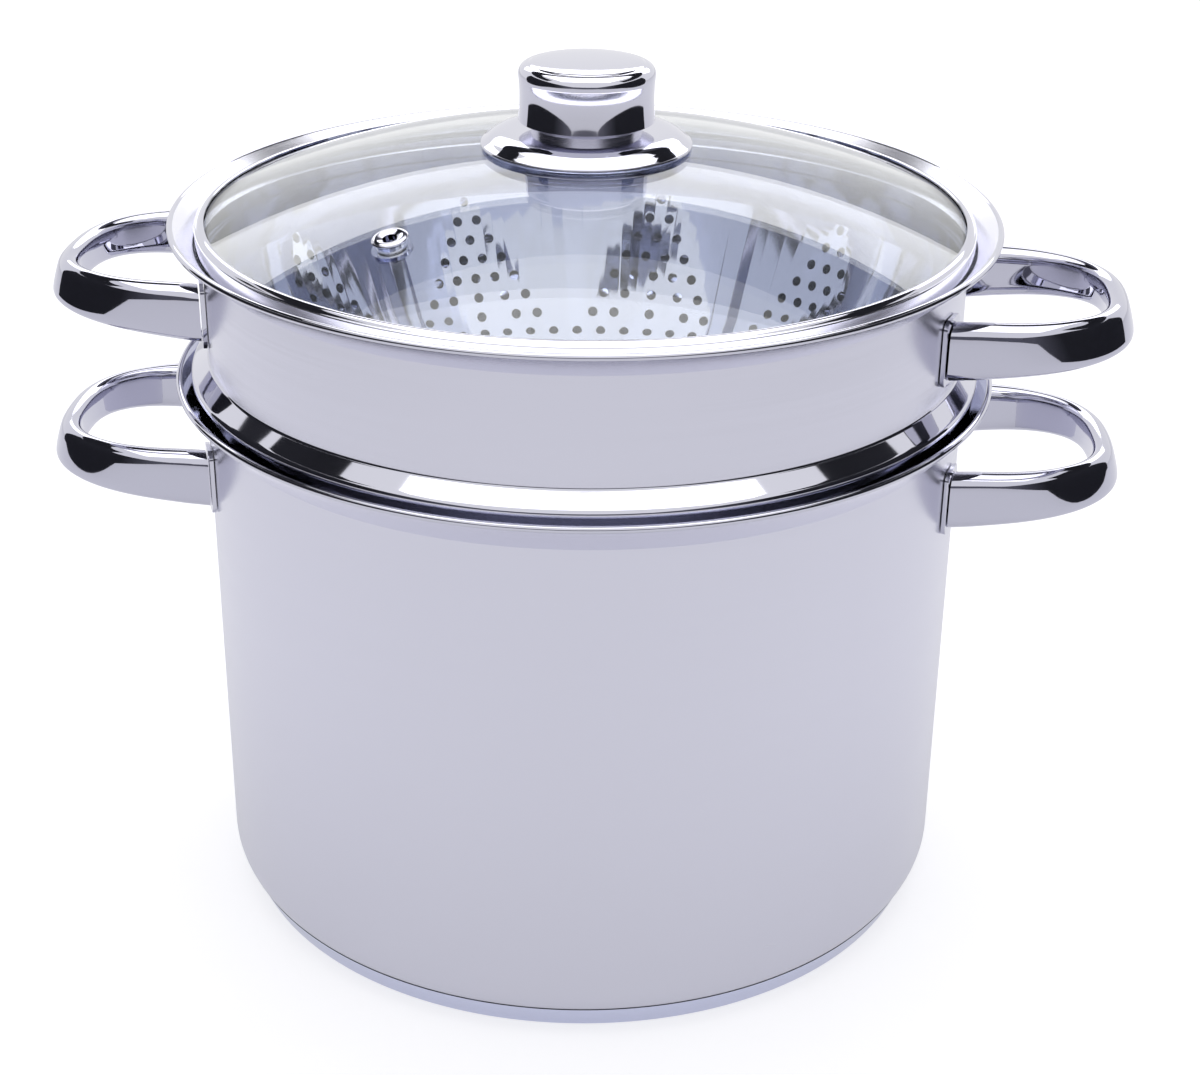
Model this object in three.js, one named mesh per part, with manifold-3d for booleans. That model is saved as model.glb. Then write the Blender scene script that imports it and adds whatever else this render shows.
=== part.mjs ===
// A stainless pasta pot with a lift-out colander and a glass lid, in millimetres, +Z up.
// The origin is the middle of the underside of the pot, and the pot's handles lie along X.
import * as THREE from "three";
import { mergeGeometries, mergeVertices } from "three/addons/utils/BufferGeometryUtils.js";
import Module from "manifold-3d";

const wasm = await Module();
wasm.setup();

// Shared sizes
const fit = 0.3;
const sheet = 0.8;
const lipBead = 1.1;
const lipStart = -45;
const lipEnd = 135;
const sharpestFold = 0.5;
const wideFacets = 48;
const smallFacets = 28;
const ventFacets = 20;
const arcSteps = 4;

// Pot
const potRadius = 120;
const potFlareReach = 8.9;
const potLipRadius = potRadius + potFlareReach;
const potHeight = 176;
const potFlareHeight = 10.9;
const potCorner = 10;

// Heat base
const baseInset = 5.2;
const baseRadius = potRadius - baseInset;
const baseEdge = 1.5;
const capInset = 2;
const capRadius = potRadius - capInset;
const capSheet = 0.6;
const coreThickness = 3.9;
const coreInset = 2.8;
const coreRadius = baseRadius - coreInset;

// Colander band and the flange that seats in the pot's mouth
const bandInset = 1.6;
const bandRadius = potRadius - bandInset;
const bandLipInset = 0.5;
const bandLipRadius = potLipRadius - bandLipInset;
const bandWall = 42.55;
const bandFlareHeight = 9.6;
const flangeInset = 2.9;
const flangeRadius = potLipRadius - flangeInset;
const flangeDrop = 4.3;
const flangeEdge = 2.1;
const flangeEdgeStart = -25;
const flangeEdgeEnd = 55;
const seatShare = 0.29;
const seatRadius = potRadius + potFlareReach * seatShare;
const flangeRise = 8.2;

// Colander basket
const basketCollar = 14.5;
const collarBelowFlare = 4.5;
const basketDepth = 106;
const basketTaper = 25;
const basketCorner = 14;
const seamInset = 2;

// Colander holes
const holeRadius = 1.7;
const holeSides = 4;
const punchLength = 5;
const motifs = 10;
const motifTurn = 83.3;
const triangleRows = 5;
const holePitch = 7.2;
const rowPitch = 7;
const firstRow = 2;
const floorPitch = 20;
const floorRings = 1;
const floorRingStep = 6;

// Handles
const handleReach = 52;
const handleLeg = 37.5;
const handleStraight = 4.7;
const handleSquareness = 2.6;
const handleThick = 9.2;
const handleRootHeight = 18;
const handleGripHeight = 12;
const handleRound = 3;
const handleWall = 1;
const bendSteps = 12;
const potHandleDrop = 20.6;
const colanderHandleDrop = 18;
const colanderTurn = -4;
const padThick = 1.2;
const padMargin = 1.5;
const tongueThick = 3;
const tongueHeight = 7;
const tongueLength = 14;

// Lid glass and its band
const lidShare = 0.41;
const lidRadius = bandRadius + (bandLipRadius - bandRadius) * lidShare;
const lidBandSheet = 0.6;
const lidLip = 3;
const glassThick = 4;
const domeRadius = 370;
const domeSteps = 5;
const screwHole = 4.3;

// Steam vent
const ventX = -51.5;
const ventY = -68;
const ventHole = 4.3;
const ventFlange = 5.4;
const ventFlangeThick = 1.4;
const ventBore = 2.2;
const washerRadius = 6;
const washerThick = 1;

// Knob, its flange and its fastening
const knobRadius = 20.9;
const knobWaist = 20.2;
const knobNeck = 17;
const knobNeckHeight = 3.4;
const knobHeight = 21.5;
const knobRound = 3.2;
const knobCrown = 1;
const knobSheet = 1;
const knobFlangeRadius = 32.5;
const knobFlangeEdge = 1.6;
const knobFlangeThick = 2.2;
const knobFlangeStep = 1;
const sealRadius = 14;
const sealThick = 1;
const insertDepth = 12;
const screwRadius = 2.5;
const screwHeadRadius = 5;
const screwHeadHeight = 2.6;
const screwHeadEdge = 1;
const lowerSealRadius = 9;
const screwWasherRadius = 8;
const threadDepth = 9;

// Materials
const steel = new THREE.MeshStandardMaterial({ color: 0xc6c6d0, roughness: 0.22, metalness: 1 });
const polished = new THREE.MeshStandardMaterial({ color: 0xd8d8e2, roughness: 0.06, metalness: 1 });
const aluminium = new THREE.MeshStandardMaterial({ color: 0xb4b6ba, roughness: 0.5, metalness: 1 });
const glass = new THREE.MeshStandardMaterial({ color: 0xe6ecf2, roughness: 0.03, metalness: 0 });
const silicone = new THREE.MeshStandardMaterial({ color: 0xb9bcc4, roughness: 0.6, metalness: 0 });

const point = (r, z) => new THREE.Vector2(r, z);

// Points of an arc from one angle to another, in degrees
function arc(r, z, radius, from, to) {
  const points = [];
  for (let i = 0; i <= arcSteps; i += 1) {
    const angle = THREE.MathUtils.degToRad(from + ((to - from) * i) / arcSteps);
    points.push(point(r + radius * Math.cos(angle), z + radius * Math.sin(angle)));
  }
  return points;
}

// A solid of revolution about Z from a profile that ends on the axis
function spun(profile, facets = wideFacets) {
  const turning = THREE.ShapeUtils.area(profile) > 0 ? profile : [...profile].reverse();
  return new THREE.LatheGeometry(turning, facets).rotateX(Math.PI / 2);
}

// A ring of revolution about Z from a profile that goes round once
const spunRing = (profile, facets) => spun([...profile, profile[0]], facets);

// A plain ring between two radii and two heights
function plainRing(inner, outer, low, high, facets) {
  return spunRing([point(inner, low), point(outer, low), point(outer, high), point(inner, high)], facets);
}

// The line of a sheet's other face, to the left of the given line
function offsetLine(line, distance) {
  return line.map((here, i) => {
    const before = line[Math.max(i - 1, 0)];
    const after = line[Math.min(i + 1, line.length - 1)];
    const arriving = (i === 0 ? after.clone().sub(here) : here.clone().sub(before)).normalize();
    const leaving = (i === line.length - 1 ? arriving.clone() : after.clone().sub(here)).normalize();
    const bisector = arriving.add(leaving).normalize();
    const spread = Math.max(bisector.dot(leaving), sharpestFold);
    return point(here.x - (bisector.y * distance) / spread, here.y + (bisector.x * distance) / spread);
  });
}

// A flared mouth: outer line, rounded lip and inner line, going up and over
function mouth(radius, lipRadius, top, flareHeight) {
  const start = top - flareHeight;
  const lip = arc(lipRadius - lipBead, top - lipBead, lipBead, lipStart, lipEnd);
  return [point(radius, start), ...lip, point(radius - sheet, start)];
}

// The height of a flared mouth's inner face at a radius
function mouthSeat(radius, lipRadius, top, flareHeight, at) {
  const profile = mouth(radius, lipRadius, top, flareHeight);
  const [over, foot] = profile.slice(-2);
  return foot.y + ((at - foot.x) * (over.y - foot.y)) / (over.x - foot.x);
}

// A three.js geometry as a closed solid, and back
function solid(geometry) {
  const bare = geometry.clone();
  bare.deleteAttribute("normal");
  bare.deleteAttribute("uv");
  const merged = mergeVertices(bare);
  const vertProperties = new Float32Array(merged.attributes.position.array);
  const triVerts = new Uint32Array(merged.index.array);
  return new wasm.Manifold(new wasm.Mesh({ numProp: 3, vertProperties, triVerts }));
}

function geometryOf(body) {
  const made = body.getMesh();
  const geometry = new THREE.BufferGeometry();
  geometry.setAttribute("position", new THREE.BufferAttribute(made.vertProperties, 3));
  geometry.setIndex(new THREE.BufferAttribute(made.triVerts, 1));
  geometry.computeVertexNormals();
  return geometry;
}

function mesh(name, geometry, material) {
  const made = new THREE.Mesh(geometry, material);
  made.name = name;
  return made;
}

// Heights that the pot's pieces share
const floorUnder = capSheet + coreThickness;

// The underside of the pot's rounded corner at a radius
function cornerUnder(radius) {
  const across = radius - (potRadius - potCorner);
  return floorUnder + potCorner - Math.sqrt(potCorner ** 2 - across ** 2);
}

function potShell() {
  const centre = potRadius - potCorner;
  const profile = [
    point(0, floorUnder),
    ...arc(centre, floorUnder + potCorner, potCorner, -90, 0),
    ...mouth(potRadius, potLipRadius, potHeight, potFlareHeight),
    ...arc(centre, floorUnder + potCorner, potCorner - sheet, 0, -90),
    point(0, floorUnder + sheet),
  ];
  return mesh("pot_shell", spun(profile), steel);
}

function baseCore() {
  const profile = [
    point(0, capSheet),
    point(coreRadius, capSheet),
    point(coreRadius, floorUnder),
    point(0, floorUnder),
  ];
  return mesh("base_core", spun(profile), aluminium);
}

function baseCap() {
  const inner = capRadius - capSheet;
  const profile = [
    point(0, 0),
    point(baseRadius - baseEdge, 0),
    point(baseRadius, baseEdge),
    point(capRadius, cornerUnder(capRadius) - fit),
    point(inner, cornerUnder(inner) - fit),
    point(baseRadius - capSheet, baseEdge),
    point(baseRadius - baseEdge, capSheet),
    point(0, capSheet),
  ];
  return mesh("base_cap", spun(profile), polished);
}

// Heights that the colander's pieces share
const potSeat = (at) => mouthSeat(potRadius, potLipRadius, potHeight, potFlareHeight, at);
const flangeFoot = potSeat(seatRadius) + fit;
const flangeTop = flangeFoot + flangeRise + flangeDrop;
const colanderTop = flangeTop + bandWall;
const bandSeat = (at) => mouthSeat(bandRadius, bandLipRadius, colanderTop, bandFlareHeight, at);

function colanderBand() {
  const edge = flangeRadius - flangeEdge;
  const edgeHeight = flangeTop - flangeDrop;
  const outer = [
    point(seatRadius, flangeFoot),
    ...arc(edge, edgeHeight, flangeEdge, flangeEdgeStart, flangeEdgeEnd),
    point(bandRadius, flangeTop),
  ];
  const inner = offsetLine([...outer, point(bandRadius, colanderTop)], sheet).slice(0, outer.length);
  const profile = [
    ...outer,
    ...mouth(bandRadius, bandLipRadius, colanderTop, bandFlareHeight),
    ...inner.reverse(),
  ];
  return mesh("colander_band", spunRing(profile), steel);
}

// The basket's outer line, from its floor up to the collar's edge
const basketRadius = bandRadius - sheet - fit;
const collarTop = colanderTop - bandFlareHeight - collarBelowFlare;
const coneTop = collarTop - basketCollar;
const basketFloor = collarTop - basketDepth;
const taper = THREE.MathUtils.degToRad(basketTaper);

// The basket's outer radius on its cone at a height
const coneRadius = (z) => basketRadius - (coneTop - z) * Math.tan(taper);

// Where the floor starts to bend up into the cone, and where its disc is seamed in
const cornerDrop = basketCorner * (1 - Math.sin(taper));
const footRadius = coneRadius(basketFloor + cornerDrop) - basketCorner * Math.cos(taper);
const seamRadius = footRadius - seamInset;

function basketProfile() {
  const corner = arc(footRadius, basketFloor + basketCorner, basketCorner, -90, -basketTaper);
  const edge = point(seamRadius + fit, basketFloor);
  const outer = [edge, ...corner, point(basketRadius, coneTop), point(basketRadius, collarTop)];
  return [...outer, ...offsetLine(outer, sheet).reverse()];
}

// One hole's cutter, square to the cone, at a distance down the slope and an angle round
function wallCutter(down, angle) {
  const z = coneTop - down * Math.cos(taper);
  const cutter = new THREE.CylinderGeometry(holeRadius, holeRadius, punchLength, holeSides);
  cutter.rotateZ(Math.PI / 2 - taper);
  cutter.translate(coneRadius(z), 0, z);
  return cutter.rotateZ(angle);
}

// Motifs round the cone, each a triangle of rows that point up
function wallCutters() {
  const start = THREE.MathUtils.degToRad(motifTurn + colanderTurn);
  const cutters = [];
  for (let motif = 0; motif < motifs; motif += 1) {
    const middle = start + (motif * 2 * Math.PI) / motifs;
    for (let row = 0; row < triangleRows; row += 1) {
      const down = firstRow + row * rowPitch;
      const step = holePitch / coneRadius(coneTop - down * Math.cos(taper));
      for (let i = 0; i <= row; i += 1) {
        cutters.push(wallCutter(down, middle + (i - row / 2) * step));
      }
    }
  }
  return cutters;
}

function floorCutters() {
  const cutters = [];
  for (let ring = 0; ring <= floorRings; ring += 1) {
    const count = Math.max(floorRingStep * ring, 1);
    for (let i = 0; i < count; i += 1) {
      const cutter = new THREE.CylinderGeometry(holeRadius, holeRadius, punchLength, holeSides);
      cutter.rotateX(Math.PI / 2);
      cutter.translate(ring * floorPitch, 0, basketFloor + sheet / 2);
      cutters.push(cutter.rotateZ((i * 2 * Math.PI) / count));
    }
  }
  return cutters;
}

function colanderBasket() {
  const body = solid(spunRing(basketProfile())).subtract(solid(mergeGeometries(wallCutters())));
  return mesh("colander_basket", geometryOf(body), steel);
}

function colanderFloor() {
  const high = basketFloor + sheet;
  const profile = [point(0, basketFloor), point(seamRadius, basketFloor), point(seamRadius, high), point(0, high)];
  const body = solid(spun(profile)).subtract(solid(mergeGeometries(floorCutters())));
  return mesh("colander_floor", geometryOf(body), steel);
}

// A handle's height at a distance from the axis
function handleHeight(x, wall) {
  const share = (x - wall) / handleReach;
  return handleRootHeight + (handleGripHeight - handleRootHeight) * share;
}

// A rounded section across the handle, hanging down from its level top edge
function handleSection(height, inset) {
  const half = handleThick / 2 - inset;
  const round = handleRound - inset;
  const middle = -height / 2;
  const tall = height / 2 - inset;
  const corners = [[1, 1], [-1, 1], [-1, -1], [1, -1]];
  const turns = [[0, 45, 90], [90, 135, 180], [180, 225, 270], [270, 315, 360]];
  return corners.flatMap(([across, up], corner) =>
    turns[corner].map((degrees) => {
      const angle = THREE.MathUtils.degToRad(degrees);
      const u = across * (half - round) + round * Math.cos(angle);
      return point(u, middle + up * (tall - round) + round * Math.sin(angle));
    }),
  );
}

// One coordinate of a squared oval, from the cosine or sine of its angle
const squared = (along, power) => Math.sign(along) * Math.abs(along) ** power;

// The loop's middle line in plan: leg, squared half oval, leg, with the way across it at each place
function handleStations(wall) {
  const bend = wall + handleStraight;
  const reach = handleReach - handleThick / 2 - handleStraight;
  const start = Math.sqrt(wall ** 2 - (handleLeg + handleThick) ** 2) - handleThick;
  const along = 2 / handleSquareness;
  const across = 2 - along;
  const stations = [{ x: start, y: -handleLeg, angle: -90 }];
  for (let i = 0; i <= bendSteps; i += 1) {
    const turn = THREE.MathUtils.degToRad(-90 + (180 * i) / bendSteps);
    const cos = Math.max(Math.cos(turn), 0);
    const sin = Math.sin(turn);
    const facing = Math.atan2(squared(sin, across) / handleLeg, squared(cos, across) / reach);
    const x = bend + reach * squared(cos, along);
    stations.push({ x, y: handleLeg * squared(sin, along), angle: THREE.MathUtils.radToDeg(facing) });
  }
  stations.push({ x: start, y: handleLeg, angle: 90 });
  return stations;
}

// The swept skin of a handle, drawn in by an inset
function handleSkin(wall, inset) {
  const stations = handleStations(wall);
  const positions = [];
  stations.forEach(({ x, y, angle }) => {
    const turn = THREE.MathUtils.degToRad(angle);
    handleSection(handleHeight(x, wall), inset).forEach((spot) => {
      positions.push(x + spot.x * Math.cos(turn), y + spot.x * Math.sin(turn), spot.y);
    });
  });
  const count = positions.length / 3 / stations.length;
  const index = [];
  for (let ring = 0; ring < stations.length - 1; ring += 1) {
    for (let i = 0; i < count; i += 1) {
      const a = ring * count + i;
      const b = ring * count + ((i + 1) % count);
      index.push(a, a + count, b, b, a + count, b + count);
    }
  }
  const last = (stations.length - 1) * count;
  for (let i = 1; i < count - 1; i += 1) {
    index.push(0, i, i + 1, last, last + i + 1, last + i);
  }
  const skin = new THREE.BufferGeometry();
  skin.setAttribute("position", new THREE.Float32BufferAttribute(positions, 3));
  return skin.setIndex(index);
}

// A hollow loop handle whose legs end at the weld pads
function handleGeometry(wall) {
  const clear = wall + fit + padThick + fit;
  const low = -2 * handleRootHeight;
  const profile = [point(0, low), point(clear, low), point(clear, -low), point(0, -low)];
  const skin = solid(handleSkin(wall, 0)).subtract(solid(handleSkin(wall, handleWall)));
  return geometryOf(skin.subtract(solid(spun(profile))));
}

// A weld pad against the wall with a tongue inside the handle's leg
function bracketGeometry(wall, side) {
  const inside = wall + fit;
  const outside = inside + padThick;
  const height = handleRootHeight + 2 * padMargin;
  const width = handleThick + 2 * padMargin;
  const middle = -handleRootHeight / 2;
  const ring = plainRing(inside, outside, middle - height / 2, middle + height / 2, wideFacets);
  const window = new THREE.BoxGeometry(2 * wall, width, 2 * height);
  window.translate(wall, side * handleLeg, middle);
  const root = Math.sqrt(outside ** 2 - (handleLeg + tongueThick / 2) ** 2) - padThick / 2;
  const tongue = new THREE.BoxGeometry(tongueLength, tongueThick, tongueHeight);
  tongue.translate(root + tongueLength / 2, side * handleLeg, middle);
  return geometryOf(solid(ring).intersect(solid(window)).add(solid(tongue)));
}

// Both handles of one vessel with their weld pads
function handlePair(name, wall, top, turn) {
  const pair = new THREE.Group();
  ["right", "left"].forEach((hand, i) => {
    const arm = new THREE.Group();
    arm.position.z = top;
    arm.rotation.z = THREE.MathUtils.degToRad(turn) + i * Math.PI;
    arm.add(mesh(`${name}_handle_${hand}`, handleGeometry(wall), polished));
    arm.add(mesh(`${name}_bracket_${hand}_front`, bracketGeometry(wall, i ? 1 : -1), polished));
    arm.add(mesh(`${name}_bracket_${hand}_back`, bracketGeometry(wall, i ? -1 : 1), polished));
    pair.add(arm);
  });
  return pair;
}

// Heights that the lid's pieces share
const lidFoot = bandSeat(lidRadius) + fit;
const glassRadius = lidRadius - lidBandSheet - fit;
const glassFoot = lidFoot + lidBandSheet + fit;
const domeCentre = glassFoot + glassThick - Math.sqrt(domeRadius ** 2 - glassRadius ** 2);
const domeTop = (r) => domeCentre + Math.sqrt(domeRadius ** 2 - r ** 2);
const glassTop = domeTop(0);

// Points of the glass's upper or lower face between two radii
function domeLine(from, to, under) {
  return Array.from({ length: domeSteps + 1 }, (_, i) => {
    const r = from + ((to - from) * i) / domeSteps;
    return point(r, domeTop(r) - under);
  });
}

// Moves a piece made about the Z axis to the vent, square to the glass there
function ventPlace(piece) {
  const away = Math.hypot(ventX, ventY);
  const out = new THREE.Vector3(ventX, ventY, domeTop(away) - domeCentre).normalize();
  piece.quaternion.setFromUnitVectors(new THREE.Vector3(0, 0, 1), out);
  piece.position.set(ventX, ventY, domeTop(away));
  piece.updateMatrix();
  return piece;
}

function lidGlass() {
  const profile = [
    ...domeLine(screwHole, glassRadius, 0),
    ...domeLine(glassRadius, screwHole, glassThick),
  ];
  const deep = glassThick * 3;
  const drill = new THREE.CylinderGeometry(ventHole, ventHole, deep, ventFacets).rotateX(Math.PI / 2);
  const place = ventPlace(new THREE.Object3D());
  const body = solid(spunRing(profile)).subtract(solid(drill.applyMatrix4(place.matrix)));
  return mesh("lid_glass", geometryOf(body), glass);
}

function lidBand() {
  const lip = lidRadius - lidLip;
  const wall = lidRadius - lidBandSheet;
  const profile = [
    point(lip, lidFoot),
    point(lidRadius, lidFoot),
    point(lidRadius, domeTop(lidRadius) + fit),
    point(wall, domeTop(wall) + fit + lidBandSheet),
    point(lip, domeTop(lip) + fit + lidBandSheet),
    point(lip, domeTop(lip) + fit),
    point(wall, domeTop(wall) + fit),
    point(wall, lidFoot + lidBandSheet),
    point(lip, lidFoot + lidBandSheet),
  ];
  return mesh("lid_band", spunRing(profile), polished);
}

// The vent's eyelet: a rounded flange over the glass and a tube through it
function ventEyelet() {
  const tube = ventHole - fit;
  const foot = -glassThick - 2 * fit - washerThick;
  const profile = [
    point(ventBore, foot),
    point(tube, foot),
    point(tube, fit),
    point(ventFlange, fit),
    point(ventFlange, fit + ventFlangeThick / 2),
    point(tube, fit + ventFlangeThick),
    point(ventBore, fit + ventFlangeThick),
  ];
  return ventPlace(mesh("vent_eyelet", spunRing(profile, ventFacets), polished));
}

function ventWasher() {
  const high = -glassThick - fit;
  const ring = plainRing(ventHole, washerRadius, high - washerThick, high, ventFacets);
  return ventPlace(mesh("vent_washer", ring, polished));
}

// Heights of the knob's stack
const sealFoot = glassTop + fit;
const flangeSeat = sealFoot + sealThick;
const knobFoot = flangeSeat + knobFlangeThick;
const knobTop = knobFoot + knobHeight;

function knobSeal() {
  return mesh("knob_seal", plainRing(screwHole, sealRadius, sealFoot, flangeSeat, smallFacets), silicone);
}

function knobFlange() {
  const edgeFoot = domeTop(knobFlangeRadius) + fit;
  const profile = [
    point(screwHole, flangeSeat),
    point(sealRadius, flangeSeat),
    point(knobFlangeRadius - knobFlangeEdge, edgeFoot),
    point(knobFlangeRadius, edgeFoot + knobFlangeEdge / 2),
    point(knobFlangeRadius - knobFlangeEdge, edgeFoot + knobFlangeEdge),
    point(knobNeck + knobFlangeStep, knobFoot),
    point(screwHole, knobFoot),
  ];
  return mesh("knob_flange", spunRing(profile, smallFacets), polished);
}

// The knob's spun steel shell: neck, waisted side, rounded shoulder and crown
function knobCap() {
  const shoulder = knobTop - knobCrown - knobRound;
  const side = knobFoot + knobNeckHeight;
  const outer = [
    point(knobNeck, knobFoot),
    point(knobNeck, side - (knobRadius - knobNeck) / 2),
    point(knobRadius, side),
    point(knobWaist, (side + shoulder) / 2),
    ...arc(knobRadius - knobRound, shoulder, knobRound, 0, 90),
    point(0, knobTop),
  ];
  const inner = offsetLine(outer, knobSheet);
  inner.at(-1).x = 0;
  return mesh("knob_cap", spunRing([...outer, ...inner.reverse()], smallFacets), polished);
}

function knobInsert() {
  const radius = knobNeck - knobSheet - fit;
  const bore = screwRadius + fit;
  const profile = [
    point(bore, knobFoot),
    point(radius, knobFoot),
    point(radius, knobFoot + insertDepth),
    point(0, knobFoot + insertDepth),
    point(0, knobFoot + threadDepth + fit),
    point(bore, knobFoot + threadDepth + fit),
  ];
  return mesh("knob_insert", spunRing(profile, smallFacets), aluminium);
}

// Heights of what holds the knob from below
const lowerSealTop = domeTop(lowerSealRadius) - glassThick - fit;
const screwWasherTop = lowerSealTop - sealThick;
const screwHeadTop = screwWasherTop - washerThick;

function lowerSeal() {
  const ring = plainRing(screwHole, lowerSealRadius, screwWasherTop, lowerSealTop, smallFacets);
  return mesh("lower_seal", ring, silicone);
}

function screwWasher() {
  const bore = screwRadius + fit;
  const ring = plainRing(bore, screwWasherRadius, screwHeadTop, screwWasherTop, smallFacets);
  return mesh("screw_washer", ring, steel);
}

function knobScrew() {
  const low = screwHeadTop - screwHeadHeight;
  const profile = [
    point(0, low),
    point(screwHeadRadius - screwHeadEdge, low),
    point(screwHeadRadius, low + screwHeadEdge),
    point(screwHeadRadius, screwHeadTop),
    point(screwRadius, screwHeadTop),
    point(screwRadius, knobFoot + threadDepth),
    point(0, knobFoot + threadDepth),
  ];
  return mesh("knob_screw", spun(profile, smallFacets), steel);
}

const pot = new THREE.Group();
const potHandleTop = potHeight - potHandleDrop;
pot.add(potShell(), baseCore(), baseCap(), handlePair("pot", potRadius, potHandleTop, 0));

const colander = new THREE.Group();
const colanderHandleTop = colanderTop - colanderHandleDrop;
colander.add(colanderBand(), colanderBasket(), colanderFloor());
colander.add(handlePair("colander", bandRadius, colanderHandleTop, colanderTurn));

const lid = new THREE.Group();
lid.add(lidGlass(), lidBand(), ventEyelet(), ventWasher());
lid.add(knobSeal(), knobFlange(), knobCap(), knobInsert());
lid.add(lowerSeal(), screwWasher(), knobScrew());

const pastaPot = new THREE.Group();
pastaPot.add(pot, colander, lid);

export default pastaPot;
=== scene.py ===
"""The looks of a stainless pasta pot with a lift-out colander and a glass lid."""
import math

import bpy
from mathutils import Matrix, Vector


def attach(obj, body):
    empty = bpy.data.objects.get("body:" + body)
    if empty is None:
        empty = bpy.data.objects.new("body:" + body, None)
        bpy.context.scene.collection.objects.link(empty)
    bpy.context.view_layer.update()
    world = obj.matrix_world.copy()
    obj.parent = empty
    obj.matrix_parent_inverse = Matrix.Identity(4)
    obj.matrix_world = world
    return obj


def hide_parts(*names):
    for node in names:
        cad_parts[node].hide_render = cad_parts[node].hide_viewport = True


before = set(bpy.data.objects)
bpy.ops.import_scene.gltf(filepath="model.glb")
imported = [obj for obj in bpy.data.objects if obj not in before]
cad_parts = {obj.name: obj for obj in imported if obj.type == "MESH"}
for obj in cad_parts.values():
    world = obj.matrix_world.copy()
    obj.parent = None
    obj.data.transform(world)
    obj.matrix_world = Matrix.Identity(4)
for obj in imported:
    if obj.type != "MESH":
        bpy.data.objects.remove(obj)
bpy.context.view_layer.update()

# Sizes below are in millimetres, as on a drawing, and MM turns them to metres
MM = 0.001

# Pot
SHEET = 0.8
LIP_BEAD = 1.1
LIP_FROM = -45
LIP_TO = 135
LIP_POLISHED = 3 * LIP_BEAD
POT_RADIUS = 120
POT_LIP_RADIUS = 128.9
POT_HEIGHT = 176
POT_FLARE = 10.9
POT_CORNER = 10
POT_FLOOR = 4.5

# Heat base
BASE_RADIUS = 114.8
BASE_EDGE = 1.5
BASE_EDGE_TO = -20
CAP_RADIUS = 118
CAP_SHEET = 0.6
FIT = 0.3

# Colander
BAND_RADIUS = 118.4
BAND_LIP_RADIUS = 128.4
BAND_FLARE = 9.6
BAND_WALL = 42.55
FLANGE_RADIUS = 124.1
FLANGE_EDGE = 2.1
FLANGE_EDGE_FROM = -25
FLANGE_EDGE_TO = 52
FLANGE_DROP = 5.45
FLANGE_RISE = 7.05
FLANGE_FOLD = 1.3
FLANGE_BRINK = 0.08
SEAT_RADIUS = 122.581
COLLAR_HEIGHT = 14.5
COLLAR_BELOW_FLARE = 4.5
BASKET_DEPTH = 106
BASKET_TAPER = math.radians(25)
BASKET_CORNER = 14

# Colander holes
HOLE_RADIUS = 1.75
HOLE_SIDES = 16
PUNCH_LENGTH = 6 * SHEET
MOTIFS = 10
MOTIF_TURN = math.radians(83.3)
COLANDER_TURN = math.radians(-4)
TRIANGLE_ROWS = 5
FORK_ROWS = 2
HOLE_PITCH = 7.2
ROW_PITCH = 7
FIRST_ROW = 2
FORK_GAP = 1.36
FORK_SPREAD = 0.45
FORK_STEP = 1.08
RING_HOLES = 7
FLOOR_PITCH = 20
FLOOR_RINGS = 3

# Handles
HANDLE_REACH = 52
HANDLE_LEG = 37.5
HANDLE_STRAIGHT = 4.7
HANDLE_SQUARENESS = 2.6
HANDLE_THICK = 9.2
HANDLE_ROOT = 18
HANDLE_GRIP = 12
HANDLE_ROUND = 4.4
HANDLE_ROUND_STEPS = 4
HANDLE_BEND_STEPS = 28
HANDLE_LEAN = 3.6
HANDLE_LEAN_FROM = 0.45
HANDLE_LEAN_CURVE = 1.5
POT_HANDLE_DROP = 20.6
COLANDER_HANDLE_DROP = 18
PAD_THICK = 1.2
PAD_MARGIN = 1.5
PAD_ROUND = 3
PAD_ROUND_STEPS = 6

# Lid
LID_RADIUS = 120.2
LID_SHEET = 0.6
LID_LIP = 3
LID_BULGE = 0.5
LID_EDGE_TO = 72
GLASS_THICK = 4
DOME_RADIUS = 321.7
SCREW_HOLE = 4.3
VENT = (-51.5, -68)
VENT_HOLE = 4.3
VENT_FLANGE = 5.4
VENT_FLANGE_THICK = 1.4
VENT_BORE = 2.2
WASHER_THICK = 1
WASHER_RADIUS = 6

# Knob
KNOB_RADIUS = 20.9
KNOB_WAIST = 20.5
KNOB_NECK = 17
KNOB_NECK_HEIGHT = 3.4
KNOB_HEIGHT = 21.5
KNOB_ROUND = 3.2
KNOB_CROWN = 1
KNOB_SHEET = 1
KNOB_FLANGE_RADIUS = 32.5
KNOB_FLANGE_EDGE = 1.6
KNOB_FLANGE_EDGE_TO = 80
KNOB_FLANGE_THICK = 2.2
KNOB_FLANGE_FALL = 5
SEAL_RADIUS = 14
SEAL_THICK = 1

# Stage, in metres
FLOOR_SIZE = 12
FLOOR_LEVEL = -0.0004
OVERHEAD_SIZE = (1.6, 1.4)
OVERHEAD_PLACE = (0, 0.1, 1.5)
OVERHEAD_AIM = (0, 0, 0.1)
OVERHEAD_RADIANCE = 1.5
BEHIND_SIZE = (2.6, 0.8)
BEHIND_PLACE = (0, 1.7, 1.32)
BEHIND_AIM = (0, 0, 0.2)
BEHIND_RADIANCE = 1.6
ROOM_SIDE = 0.66
ROOM_FRONT = 1.7
ROOM_BACK = 0.3
ROOM_LOW = 0.08
ROOM_HEIGHT = 0.62
GAP_AWAY = 1.3
GAP_LOW = 1.12
GAP_HIGH = 1.72
GAP_FRONT = -0.35
GREY_WIDTH = 0.5
GREY_FRONT = -1.2
BLACK_FROM = -0.5
WALL_THROUGH = 0.78
FILL = 0.62
PAPER_SEEN = 0.68
PAPER_MIRRORED = 0.42

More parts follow.
